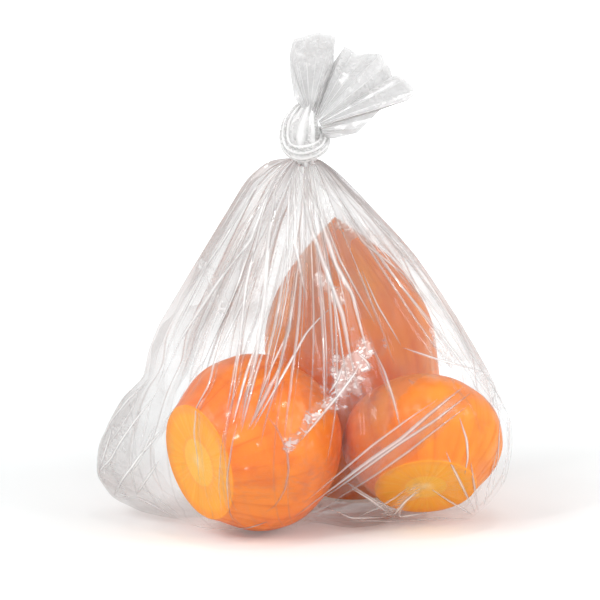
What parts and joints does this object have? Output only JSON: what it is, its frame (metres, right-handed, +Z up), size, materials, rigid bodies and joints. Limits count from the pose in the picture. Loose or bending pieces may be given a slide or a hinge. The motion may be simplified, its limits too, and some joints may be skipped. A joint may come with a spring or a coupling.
{
  "type": "freezer bag",
  "caption": "Clear plastic freezer bag, gathered and knotted in its own film, with a ruffled mouth, standing on the peeled carrot pieces inside it.",
  "frame": {"origin": "on the ground, under the middle of the part's box", "axes": "+Z up through the knot, -Y towards the viewer of the picture, +X to the viewer's right"},
  "size_m": [0.148, 0.1316, 0.1744],
  "materials": {
    "film": "clear, glossy, thin polyethylene film with fine wrinkles",
    "carrot": "moist peeled carrot"
  },
  "bodies": {
    "root": {"film_bag": "film", "carrot_left": "carrot", "carrot_right": "carrot", "carrot_back": "carrot"}
  },
  "joints": []
}
